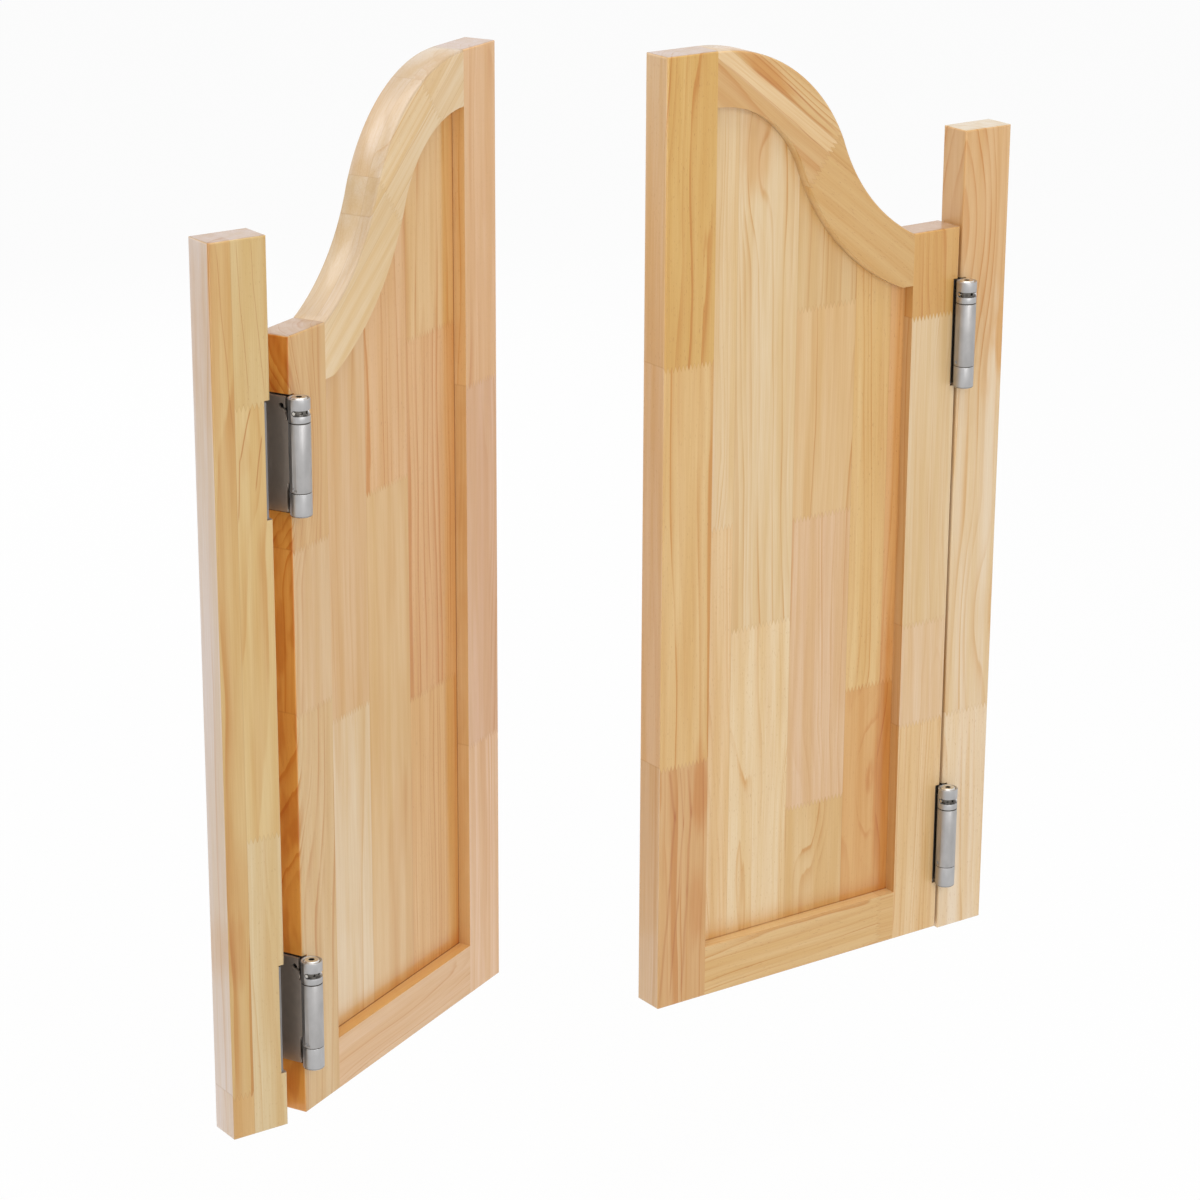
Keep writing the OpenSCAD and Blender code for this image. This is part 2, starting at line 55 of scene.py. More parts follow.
class Graph:
    """Short names for building a node tree."""

    def __init__(self, tree):
        self.tree = tree

    def node(self, kind, inputs=(), **settings):
        made = self.tree.nodes.new(kind)
        for name, value in settings.items():
            setattr(made, name, value)
        for key, value in dict(inputs).items():
            self.put(made.inputs[key], value)
        return made

    def put(self, socket, value):
        """Link a socket to another, or set it to a plain value."""
        if isinstance(value, bpy.types.NodeSocket):
            self.tree.links.new(value, socket)
        else:
            socket.default_value = value

    def math(self, operation, a, b=0.0, c=0.0):
        return self.node("ShaderNodeMath", {0: a, 1: b, 2: c}, operation=operation).outputs[0]

    def vector(self, operation, a, b=(0, 0, 0), c=(0, 0, 0)):
        made = self.node("ShaderNodeVectorMath", {0: a, 1: b, 2: c}, operation=operation)
        return made.outputs["Value" if operation in ("LENGTH", "DOT_PRODUCT") else "Vector"]

    def smooth(self, value, low, high, to_low=0.0, to_high=1.0, kind="SMOOTHSTEP"):
        """A soft step from to_low to to_high as a value goes from low to high."""
        made = self.node("ShaderNodeMapRange", {0: value, 1: low, 2: high, 3: to_low, 4: to_high},
                         interpolation_type=kind)
        return made.outputs[0]

    def between(self, fraction, low, high):
        """An even change from low to high as a fraction goes from 0 to 1."""
        return self.smooth(fraction, 0.0, 1.0, low, high, "LINEAR")

    def split(self, vector):
        return self.node("ShaderNodeSeparateXYZ", {0: vector}).outputs

    def join(self, x, y, z):
        return self.node("ShaderNodeCombineXYZ", {0: x, 1: y, 2: z}).outputs[0]

    def mix(self, factor, a, b, blend="MIX"):
        made = self.node("ShaderNodeMix", data_type="RGBA", blend_type=blend)
        self.put(made.inputs[0], factor)
        self.put(made.inputs[6], a)
        self.put(made.inputs[7], b)
        return made.outputs[2]

    def shade(self, colour, factor, tint):
        """Colour darkened towards its product with a tint."""
        return self.mix(factor, colour, self.mix(1.0, colour, tint, "MULTIPLY"))

    def noise(self, vector, size, detail=2.0, rough=0.5):
        """Noise from 0 to 1, whose blobs have their own size in millimetres on each axis."""
        scaled = self.vector("DIVIDE", vector, size)
        made = self.node("ShaderNodeTexNoise", {"Vector": scaled, "Scale": 1.0, "Detail": detail,
                                                "Roughness": rough})
        return made.outputs[0]

    def sway(self, vector, size, detail, reach):
        """Noise to both sides of 0, with the reach from its lowest to its highest."""
        return self.math("MULTIPLY", self.math("SUBTRACT", self.noise(vector, size, detail), 0.5), reach)

    def line(self, value, at, half):
        """1 where a value is at a place, falling to 0 a little way off."""
        return self.smooth(self.math("ABSOLUTE", self.math("SUBTRACT", value, at)), 0.0, half, 1.0, 0.0)

    def random(self, value):
        """Three random numbers from one number."""
        made = self.node("ShaderNodeTexWhiteNoise", {"W": value}, noise_dimensions="1D")
        return self.split(made.outputs["Color"])

    def table(self, index, rows):
        """Colour and alpha of a whole-number index, looked up in a list."""
        place = self.math("DIVIDE", self.math("ADD", index, 0.5), float(len(rows)))
        made = self.node("ShaderNodeValToRGB", {0: place})
        ramp = made.color_ramp
        ramp.interpolation = "CONSTANT"
        while len(ramp.elements) < len(rows):
            ramp.elements.new(1.0)
        for count, row in enumerate(rows):
            ramp.elements[count].position = count / len(rows)
            ramp.elements[count].color = row
        return made.outputs

    def pick(self, index, rows):
        """The three numbers of a whole-number index, looked up in a list."""
        if len(rows) == 1:
            return rows[0]
        colour = self.table(index, [(*row, 1.0) for row in rows])[0]
        return self.node("ShaderNodeSeparateColor", {0: colour}).outputs


def new_material(name):
    """Empty node material, with its graph and its Principled shader."""
    made = bpy.data.materials.new(name)
    made.use_nodes = True
    return made, Graph(made.node_tree), made.node_tree.nodes["Principled BSDF"]


# ---------- tones of the pine ----------

# Screen colours, each with how strongly its grain shows. They were adjusted until each board
# rendered like the photographed one.
# Some tones are painted light and shade, given to faces that look one way: chalk, husk, end_pale, shell,
# wax, gold, dune and amber, and in part end and end_tan.
TONES = {name: (*srgb(*colour)[:3], grain) for name, colour, grain in (
    ("cream", (222, 198, 159), 1.0),
    ("milk", (222, 198, 159), 0.45),
    ("pearl", (222, 200, 167), 0.7),
    ("linen", (228, 209, 183), 0.45),
    ("petal", (226, 205, 175), 0.8),
    ("nude", (223, 194, 158), 0.3),
    ("butter", (222, 192, 147), 1.0),
    ("straw", (217, 184, 135), 1.0),
    ("oat", (213, 181, 130), 1.0),
    ("flax", (207, 185, 143), 0.3),
    ("reed", (212, 184, 130), 0.9),
    ("barley", (215, 180, 127), 1.5),
    ("custard", (222, 196, 156), 0.45),
    ("dune", (222, 182, 126), 0.8),
    ("corn", (204, 179, 129), 0.5),
    ("wheat", (207, 175, 119), 1.0),
    ("maize", (217, 183, 125), 1.0),
    ("ochre", (213, 179, 124), 1.0),
    ("fawn", (216, 179, 121), 0.4),
    ("brass", (207, 168, 98), 1.0),
    ("sand", (210, 177, 132), 1.0),
    ("caramel", (209, 178, 129), 1.8),
    ("honey", (214, 174, 118), 1.0),
    ("sorrel", (206, 163, 98), 1.0),
    ("copper", (210, 163, 100), 0.8),
    ("amber", (206, 158, 98), 1.0),
    ("tan", (210, 168, 115), 0.7),
    ("toffee", (204, 165, 106), 0.4),
    ("biscuit", (206, 167, 113), 0.5),
    ("apricot", (214, 169, 112), 0.5),
    ("almond", (216, 182, 139), 0.5),
    ("peach", (216, 178, 134), 1.0),
    ("rose", (217, 184, 147), 1.0),
    ("blush", (217, 179, 145), 1.0),
    ("blossom", (224, 190, 155), 1.0),
    ("ginger", (214, 171, 119), 1.9),
    ("gold", (228, 180, 112), 0.8),
    ("wax", (232, 200, 148), 0.5),
    ("bisque", (230, 203, 170), 0.5),
    ("shell", (194, 172, 147), 0.6),
    ("burnt", (222, 154, 62), 1.0),
    ("end", (174, 153, 146), 0.6),
    ("end_pale", (217, 225, 236), 0.4),
    ("end_tan", (163, 138, 126), 1.0),
    ("chalk", (236, 220, 213), 0.2),
    ("husk", (227, 199, 164), 0.2),
    ("hazel", (208, 170, 114), 1.1),
)}

# What each feature multiplies a board's tone by where it shows in full
CLOUD_TINT = (0.93, 0.84, 0.66, 1)
LATE_TINT = (0.85, 0.64, 0.38, 1)
FIBRE_TINT = (0.89, 0.79, 0.64, 1)
SPECK_TINT = (0.66, 0.47, 0.33, 1)
FLAME_TINT = (0.78, 0.52, 0.24, 1)
PATCH_TINT = (0.87, 0.64, 0.36, 1)
STREAK_TINT = (0.76, 0.50, 0.28, 1)
GLUE_TINT = (0.70, 0.55, 0.40, 1)
# painted shade where a panel meets its frame: a warm shade beside the corner, and a dark shadow line in the
# corner itself
CORNER_SHADE_TINT = (0.88, 0.66, 0.38, 1)
CORNER_SHADOW_TINT = (0.42, 0.24, 0.13, 1)

FIBRE_SHOWS = 0.42
SPECK_SHOWS = 0.5
GLUE_SHOWS = 0.35
BOARD_BRIGHTNESS = (1.01, 1.08)  # from the darkest board to the brightest

# ---------- the trunks that the boards are cut from, in millimetres ----------

# How far a board may lie from others in the noise, across, in depth and along the grain
TRUNK_SPAN = (900.0, 700.0, 2000.0)
# Where the pith lies from the middle of the board, and how far it runs askew for each millimetre
PITH_ASIDE = (8.0, 110.0)
PITH_BEHIND = (24.0, 60.0)
PITH_ASKEW = (-0.035, 0.035)
PITH_TILT = (-0.03, 0.03)
# Sizes of the blobs across, in depth and along the grain, and how far they move the rings
WAVE, WAVE_REACH = (45, 45, 330), 22.0
RIPPLE, RIPPLE_REACH = (9, 9, 110), 3.0
# Width of a year's ring in the narrowest and the widest trunk
YEAR_WIDTH = (3.0, 7.5)
# Rings come closer and wider by up to so many years, with so many of them in step
YEARS_ASTRAY = 3.4
YEARS_TOGETHER = 2.3
# Sizes of the blobs of the other features
LATE_PLACES = (14, 14, 190)
FIBRES = (0.8, 0.8, 60.0)
SPECKS = (0.7, 0.7, 5.0)
CLOUDS = (13, 13, 300)
FLAMES = (16, 14, 55)
# What the node group gives: summer wood, fibres, resin specks, clouds and the board's own brightness
RING_FEATURES = ("Late", "Fibre", "Speck", "Cloud", "Shade")


def place_in_trunk(g, source, moved, first, second, third):
    """Distance from the pith, bent by waves and swellings, and the part of it across the board."""
    across, depth, along = g.split(source["Place"])
    side = g.math("SIGN", g.math("SUBTRACT", second[1], 0.5))
    aside = g.math("MULTIPLY", side, g.between(first[2], *PITH_ASIDE))
    askew = g.math("MULTIPLY", g.between(second[0], *PITH_ASKEW), source["Lean"])
    pith_across = g.math("MULTIPLY_ADD", along, askew, aside)
    pith_behind = g.math("MULTIPLY_ADD", along, g.between(second[2], *PITH_TILT),
                         g.between(third[0], *PITH_BEHIND))
    off_across = g.math("SUBTRACT", g.math("SUBTRACT", across, source["Centre"]), pith_across)
    off_depth = g.math("ADD", depth, pith_behind)
    radius = g.vector("LENGTH", g.join(off_across, off_depth, 0.0))
    for bend in (g.sway(moved, WAVE, 1.0, WAVE_REACH), g.sway(moved, RIPPLE, 2.0, RIPPLE_REACH),
                 source["Swell"]):
        radius = g.math("ADD", radius, bend)
    return radius, g.math("ABSOLUTE", off_across)


def late_wood(g, radius, board, width):
    """How strongly summer wood shows: it darkens slowly and ends in a sharp line, more in some years."""
    turn = g.math("DIVIDE", radius, width)
    astray = g.noise(g.join(turn, board, 0.0), (YEARS_TOGETHER, 1, 1), 1.0)
    turn = g.math("MULTIPLY_ADD", astray, YEARS_ASTRAY, turn)
    part = g.math("FRACT", turn)
    year = g.random(g.math("ADD", g.math("FLOOR", turn), board))
    slow = g.math("MULTIPLY", g.smooth(part, 0.2, 0.95), g.between(year[1], 0.1, 0.55))
    sharp = g.math("MULTIPLY", g.smooth(part, 0.66, 0.92), g.smooth(year[0], 0.2, 1.0, 0.0, 0.8))
    return g.math("MULTIPLY", g.math("ADD", slow, sharp), g.smooth(part, 0.91, 1.0, 1.0, 0.0))


def ring_pattern():
    """Node group: the figure of a board at a place in millimetres (across, depth, along the grain)."""
    tree = bpy.data.node_groups.new("pine_rings", "ShaderNodeTree")
    tree.interface.new_socket("Place", in_out="INPUT", socket_type="NodeSocketVector")
    for name in ("Centre", "Board", "Lean", "Spread", "Swell"):
        tree.interface.new_socket(name, in_out="INPUT", socket_type="NodeSocketFloat")
    for name in RING_FEATURES:
        tree.interface.new_socket(name, in_out="OUTPUT", socket_type="NodeSocketFloat")
    g = Graph(tree)
    source = g.node("NodeGroupInput").outputs
    board = source["Board"]
    first = g.random(board)
    second = g.random(g.math("ADD", board, 0.37))
    third = g.random(g.math("ADD", board, 0.71))
    # each board is cut from its own place
    moved = g.vector("ADD", source["Place"], g.vector("MULTIPLY", g.join(*first), TRUNK_SPAN))
    radius, off_across = place_in_trunk(g, source, moved, first, second, third)
    width = g.math("MULTIPLY", g.between(third[1], *YEAR_WIDTH), source["Spread"])
    late = late_wood(g, radius, board, width)
    # summer wood is stronger in some places, and weaker where the rings lie flat
    local = g.smooth(g.noise(moved, LATE_PLACES, 1.0), 0.3, 0.66, 0.25, 1.15)
    upright = g.smooth(g.math("DIVIDE", off_across, radius), 0.0, 0.25, 0.3, 1.0)
    late = g.math("MULTIPLY", late, g.math("MULTIPLY", local, upright))
    # only some boards are resinous
    resinous = g.smooth(third[2], 0.35, 0.75)
    speck = g.math("MULTIPLY", g.smooth(g.noise(moved, SPECKS, 1.0), 0.68, 0.74), resinous)
    fibre = g.noise(moved, FIBRES, 4.0, 0.6)
    cloud = g.noise(moved, CLOUDS, 2.0)
    sink = g.node("NodeGroupOutput")
    for name, value in zip(RING_FEATURES, (late, fibre, speck, cloud, third[2])):
        g.put(sink.inputs[name], value)
    return tree


RINGS = ring_pattern()

# ---------- places on the timber: metres at rest to a piece's own millimetres ----------


def to_leaf_left(g, place):
    """From the left leaf's free edge, front face and bottom."""
    hung = Vector((GAP_X, THICK / 2 + BARREL_OFF))
    offset = hung - Matrix.Rotation(-LEFT_OPEN, 2) @ hung
    turned = g.node("ShaderNodeMapping", {"Vector": place, "Scale": TO_MM,
                                          "Rotation": (0, 0, -LEFT_OPEN)}).outputs[0]
    return g.vector("MULTIPLY_ADD", turned, (-1, 1, 1),
                    (LEAF_FAR_EDGE - offset.x, offset.y + THICK / 2, POST_H / 2 - LEAF_LIFT))


def to_leaf_right(g, place):
    """From the right leaf's free edge, front face and bottom."""
    return g.vector("MULTIPLY_ADD", place, TO_MM,
                    (LEAF_FAR_EDGE - DOORWAY_W, THICK / 2, POST_H / 2 - LEAF_LIFT))


def to_post_left(g, place):
    """From the left post's outer face, front face and bottom."""
    return g.vector("MULTIPLY_ADD", place, TO_MM, (0, THICK / 2, POST_H / 2))


def to_post_right(g, place):
    """From the right post's outer face, front face and bottom."""
    return g.vector("MULTIPLY_ADD", place, TO_MM_MIRRORED, (DOORWAY_W, THICK / 2, POST_H / 2))


# ---------- pine ----------

TOOTH_PITCH = 4.2
TOOTH_LEN = 6.0
JOINTS_MAX = 3
NO_JOINT = 9999.0
EDGE_GLUE = 0.5  # half the width of a glue line between strips
JOINT_GLUE = 1.2  # and in a finger joint
CORNER_SHADE_REACH = 24.0  # how far painted shade darkens the wood beside a corner
CORNER_SHADOW_LINE = (0.5, 1.8)  # from the corner to where its painted shadow line starts to fade and has ended
FACING = (0.75, 0.9)  # cosines from which a face starts to take the tone given for its direction, and has taken it
# Sizes of the blobs that fray a patch and bend a streak, and how far they do
FRAY, FRAY_REACH = (7, 7, 45), 0.9
BEND, BEND_REACH = (30, 30, 60), 4.0
LACQUER_ROUGH = 0.34
FIBRE_ROUGH = 0.14

# A face that looks in a direction at rest, with its tone, how far it takes that tone, and how
# strong its dark flames are
Face = namedtuple("Face", "direction tone amount flame", defaults=(0.0,))


def turn_to_grain(g, u, w, turn):
    """Places across and along the grain."""
    across = g.math("SUBTRACT", g.math("MULTIPLY", u, math.sin(turn)), g.math("MULTIPLY", w, math.cos(turn)))
    along = g.math("ADD", g.math("MULTIPLY", u, math.cos(turn)), g.math("MULTIPLY", w, math.sin(turn)))
    return across, along


def count_past(g, value, places, half):
    """How many places a value is past, and how strongly the glue at one of them shows."""
    count = 0.0
    glue = 0.0
    for place in places:
        count = g.math("ADD", count, g.math("GREATER_THAN", value, place))
        glue = g.math("MAXIMUM", glue, g.line(value, place, half))
    return count, glue


def finger_joints(g, across, along, strip, joints):
    """How many finger joints of its strip a place is past, and how strongly their glue shows."""
    tooth = g.math("MULTIPLY_ADD", g.math("PINGPONG", across, TOOTH_PITCH / 2), 2 * TOOTH_LEN / TOOTH_PITCH,
                   -TOOTH_LEN / 2)
    rows = [(*row, *[NO_JOINT] * (JOINTS_MAX - len(row))) for row in joints]
    places = g.pick(strip, rows)
    return count_past(g, g.math("ADD", along, tooth), [places[k] for k in range(JOINTS_MAX)], JOINT_GLUE)


def strip_centre(g, strip, edges, span):
    """The middle of a strip, across the grain."""
    bounds = [span[0], *edges, span[1]]
    return g.pick(strip, [((low + high) / 2, 0, 0) for low, high in zip(bounds, bounds[1:])])[0]


def swelling(g, across, along, swells):
    """How far the rings bulge."""
    total = 0.0
    for at_across, at_along, width, length, height in swells:
        off = g.join(g.math("SUBTRACT", across, at_across), 0.0, g.math("SUBTRACT", along, at_along))
        away = g.vector("LENGTH", g.vector("DIVIDE", off, (width, 1, length)))
        total = g.math("ADD", total, g.smooth(away, 0.0, 1.0, height, 0.0))
    return total


def board_tones(g, index, tones):
    """Tone of a board, and how strongly its grain shows."""
    rows = []
    for row in tones:
        rows += [TONES[tone] for tone in row] + [TONES[row[-1]]] * (JOINTS_MAX + 1 - len(row))
    return g.table(index, rows)


def face_tones(g, normal, inside, base, strength, faces):
    """Tone and strength of the grain, where faces that look one way are given their own; many of these are
    painted light and shade, as marked where the faces are listed.
    """
    flames = 0.0
    for face in faces:
        own_base = TONES[face.tone]
        own_strength = own_base[3]
        toward = g.vector("DOT_PRODUCT", normal, face.direction)
        facing = g.smooth(toward, *FACING, 0.0, face.amount)
        base = g.mix(facing, base, own_base)
        strength = g.math("MULTIPLY_ADD", facing, g.math("SUBTRACT", own_strength, strength), strength)
        if face.flame:
            flames = g.math("ADD", flames, g.smooth(toward, *FACING, 0.0, face.flame))
    if any(face.flame for face in faces):
        dark = g.smooth(g.noise(inside, FLAMES, 2.0), 0.44, 0.60)
        base = g.shade(base, g.math("MULTIPLY", flames, dark), FLAME_TINT)
    return base, strength


def patch_strength(g, inside, across, along, patches):
    """How strongly ragged resin-rich patches show."""
    total = 0.0
    ragged = g.sway(inside, FRAY, 2.0, FRAY_REACH)
    for at_across, at_along, width, length, amount in patches:
        away = g.vector("LENGTH", g.join(g.math("DIVIDE", g.math("SUBTRACT", across, at_across), width),
                                         g.math("DIVIDE", g.math("SUBTRACT", along, at_along), length), 0.0))
        total = g.math("ADD", total, g.smooth(g.math("ADD", away, ragged), 0.4, 1.3, amount, 0.0))
    return total


def streak_strength(g, inside, across, along, streaks):
    """How strongly single lines of summer wood show."""
    total = 0.0
    bent = g.math("ADD", across, g.sway(inside, BEND, 1.0, BEND_REACH))
    for across_0, along_0, across_1, along_1, half, amount in streaks:
        way = g.math("DIVIDE", g.math("SUBTRACT", along, along_0), along_1 - along_0)
        middle = g.math("MULTIPLY_ADD", way, across_1 - across_0, across_0)
        ends = g.math("MULTIPLY", g.smooth(way, -0.04, 0.1), g.smooth(way, 0.85, 1.04, amount, 0.0))
        total = g.math("ADD", total, g.math("MULTIPLY", ends, g.line(bent, middle, half)))
    return total


def corner_shade(g, colour, u, w, borders):
    """Colour with painted shade beside the corners where a panel meets its frame: a warm painted shade, and
    a painted shadow line in the corner itself.
    """
    for axis, place, glow, line in borders:
        away = g.math("ABSOLUTE", g.math("SUBTRACT", (u, w)[axis], place))
        colour = g.shade(colour, g.smooth(away, 0.0, CORNER_SHADE_REACH, glow, 0.0), CORNER_SHADE_TINT)
        colour = g.shade(colour, g.smooth(away, *CORNER_SHADOW_LINE, line, 0.0), CORNER_SHADOW_TINT)
    return colour


def lacquer(g, shader, late, fibre):
    """A satin coat over slightly raised grain."""
    g.put(shader.inputs["Roughness"], g.math("MULTIPLY_ADD", fibre, FIBRE_ROUGH, LACQUER_ROUGH))
    g.put(shader.inputs["Coat Weight"], 0.6)
    g.put(shader.inputs["Coat Roughness"], 0.15)
    height = g.math("MULTIPLY_ADD", late, 0.5, fibre)
    bump = g.node("ShaderNodeBump", {"Height": height, "Strength": 0.05, "Distance": 0.3 * MM})
    g.put(shader.inputs["Normal"], bump.outputs[0])


def pine(name, to_board, tones, edges=(), joints=((),), span=(0, POST_W), grain=90.0, layers=(), swells=(),
         streaks=(), patches=(), seed=0.0, contrast=1.0, lean=1.0, spread=1.0, faces=(), borders=()):
    """Lacquered pine of finger-jointed boards, in the millimetres of to_board.

    grain is the angle of the grain from the leaf's width, in degrees. span gives the timber's two
    sides across the grain, and edges the glue lines between its strips. layers are glue lines in
    the depth. joints are the places of the finger joints along the grain, one list for each strip.
    tones name a tone for each board, strip by strip and layer by layer.

    swells are (across, along, half width, half length, height) of places where the rings bulge, as
    round a knot. streaks are single dark lines, as (across, along, across, along, half width,
    amount), from one end to the other. patches are resin-rich places, as (across, along, half width,
    half length, amount). borders are (axis, place, glow, line) of the corners where a panel meets its
    frame: glow is a warm painted shade beside the corner and line a painted shadow line in it, with
    axis 0 across the leaf and 1 up. faces are Face tuples, many of them painted light and shade.

    seed chooses the trunks, contrast is the strength of the summer wood, lean how far the grain may
    stray from the board's length, and spread how wide the rings are.
    """
    made, g, shader = new_material(name)
    coordinates = g.node("ShaderNodeTexCoord").outputs
    u, depth, w = g.split(to_board(g, coordinates["Object"]))
    across, along = turn_to_grain(g, u, w, math.radians(grain))
    inside = g.join(across, depth, along)

    strip, strip_glue = count_past(g, across, edges, EDGE_GLUE)
    layer, layer_glue = count_past(g, depth, layers, EDGE_GLUE)
    length, joint_glue = finger_joints(g, across, along, strip, joints)
    glue = g.math("MAXIMUM", g.math("MAXIMUM", strip_glue, layer_glue), joint_glue)
    row = g.math("MULTIPLY_ADD", layer, float(len(edges) + 1), strip)
    index = g.math("MULTIPLY_ADD", row, float(JOINTS_MAX + 1), length)

    rings = g.node("ShaderNodeGroup", node_tree=RINGS)
    for key, value in (("Place", inside), ("Centre", strip_centre(g, strip, edges, span)),
                       ("Board", g.math("ADD", index, seed)), ("Lean", lean), ("Spread", spread),
                       ("Swell", swelling(g, across, along, swells))):
        g.put(rings.inputs[key], value)
    late, fibre, speck, cloud, shade = (rings.outputs[key] for key in RING_FEATURES)

    base, strength = board_tones(g, index, tones)
    base, strength = face_tones(g, coordinates["Normal"], inside, base, strength, faces)
    colour = g.shade(base, g.smooth(cloud, 0.30, 0.70), CLOUD_TINT)
    colour = g.shade(colour, g.math("MULTIPLY", late, g.math("MULTIPLY", strength, contrast)), LATE_TINT)
    if patches:
        colour = g.shade(colour, patch_strength(g, inside, across, along, patches), PATCH_TINT)
    if streaks:
        colour = g.shade(colour, streak_strength(g, inside, across, along, streaks), STREAK_TINT)
    colour = g.shade(colour, g.smooth(fibre, 0.36, 0.66, 0.0, FIBRE_SHOWS), FIBRE_TINT)
    colour = g.shade(colour, g.math("MULTIPLY", speck, SPECK_SHOWS), SPECK_TINT)
    colour = g.shade(colour, g.math("MULTIPLY", glue, GLUE_SHOWS), GLUE_TINT)
    # painted shade and a painted shadow line beside the corners where the panel meets its frame
    colour = corner_shade(g, colour, u, w, borders)
    bright = g.between(shade, *BOARD_BRIGHTNESS)
    g.put(shader.inputs["Base Color"], g.mix(1.0, colour, g.join(bright, bright, bright), "MULTIPLY"))
    lacquer(g, shader, late, fibre)
    return made


# ---------- metal ----------

BRUSH_MARKS = (0.35, 0.35, 14.0)
MOTTLES = (9.0, 9.0, 16.0)
MOTTLE = 0.12
MOTTLE_TINT = (0.72, 0.72, 0.72, 1)
BRUSH_ROUGH = 0.16
SHEET_FADE = 1.0  # half the width of the change from the flat sheet's tone to the barrel's


def steel(name, tone, rough, sheet=None, side=None):
    """Satin steel, brushed along Z, with a faint mottle.

    sheet is (to_board, tone) of the flat sheet that lies within the timber's thickness, whose tone is
    painted: shade on the flanges in their notches, light and reflection on the links' webs; side is
    the tone of what doesn't look up, painted shade beside the bright top.
    """
    made, g, shader = new_material(name)
    coordinates = g.node("ShaderNodeTexCoord").outputs
    place = g.vector("MULTIPLY", coordinates["Object"], TO_MM)
    brushed = g.noise(place, BRUSH_MARKS, 3.0, 0.6)
    mottled = g.noise(place, MOTTLES, 3.0)
    base = tone
    # the sheet within the timber's thickness takes its painted tone
    if sheet:
        to_board, flat_tone = sheet
        depth = g.split(to_board(g, coordinates["Object"]))[1]
        off_middle = g.math("ABSOLUTE", g.math("SUBTRACT", depth, THICK / 2))
        base = g.mix(g.smooth(off_middle, THICK / 2 - SHEET_FADE, THICK / 2 + SHEET_FADE), flat_tone, base)
    # painted shade on the faces that don't look up
    if side:
        up = g.split(coordinates["Normal"])[2]
        base = g.mix(g.smooth(up, 0.3, 0.8), side, base)
    base = g.shade(base, g.smooth(mottled, 0.25, 0.75, 0.0, MOTTLE * 4), MOTTLE_TINT)
    g.put(shader.inputs["Base Color"], base)
    g.put(shader.inputs["Metallic"], 1.0)
    brush_rough = g.math("MULTIPLY_ADD", brushed, BRUSH_ROUGH, rough - BRUSH_ROUGH / 2)
    mottle_rough = g.math("MULTIPLY_ADD", mottled, MOTTLE, -MOTTLE / 2)
    g.put(shader.inputs["Roughness"], g.math("ADD", brush_rough, mottle_rough))
    bump = g.node("ShaderNodeBump", {"Height": brushed, "Strength": 0.1, "Distance": 0.2 * MM})
    g.put(shader.inputs["Normal"], bump.outputs[0])
    return made


# ---------- dressing the CAD nodes ----------

# Widths of the softened edges, in millimetres
TIMBER_EDGE = 0.25
SHEET_METAL_EDGE = 0.15
ADJUSTER_EDGE = 0.1
WELD_WITHIN = 0.01
SHARP_FROM = math.radians(32)


def soften(node, width):
    """Small rounded edges on a CAD node."""
    weld = node.modifiers.new("weld", "WELD")
    weld.merge_threshold = WELD_WITHIN * MM
    bevel = node.modifiers.new("soft_edges", "BEVEL")
    bevel.width = width * MM
    bevel.segments = 2
    bevel.limit_method = "ANGLE"
    bevel.angle_limit = SHARP_FROM
    bevel.harden_normals = True
    bevel.use_clamp_overlap = True


def dress(names, material, soft=0.0):
    """Give CAD nodes their material, and softened edges where soft is their width."""
    for name in names:
        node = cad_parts[name]
        node.data.materials.clear()
        node.data.materials.append(material)
        if soft:
            soften(node, soft)


# Directions at rest. The eased edges of the left leaf's crest look between its front and outward.
UP = (0, 0, 1)
LEFTWARD = (-1, 0, 0)
LEFT_FRONT = (math.sin(LEFT_OPEN), -math.cos(LEFT_OPEN), 0)
LEFT_HINGEWARD = (-math.cos(LEFT_OPEN), -math.sin(LEFT_OPEN), 0)
LEFT_CREST = tuple((Vector(LEFT_HINGEWARD) + Vector(UP)).normalized())
LEFT_EASED = [tuple(Vector(LEFT_FRONT) * 0.6 + Vector(outward) * 0.8) for outward in (UP, LEFT_CREST)]
RIGHT_ARCH = (-0.8, 0, -0.6)

# Partly painted sheen: the tops of the posts and stiles take a greyer tone. It is partly the end grain's own
# darker colour and partly stands for the sheen of the top light on their lacquer.
END_GRAIN_AND_SHEEN = Face(UP, "end", 0.9)
HINGE_STILE_TOP = Face(UP, "end_tan", 0.7)
# Painted shade: the long-grain tops of the curved rails take a darker, greyer tone that tones down the
# strong light and sheen from above.
CREST_TOP = Face(UP, "shell", 0.8)

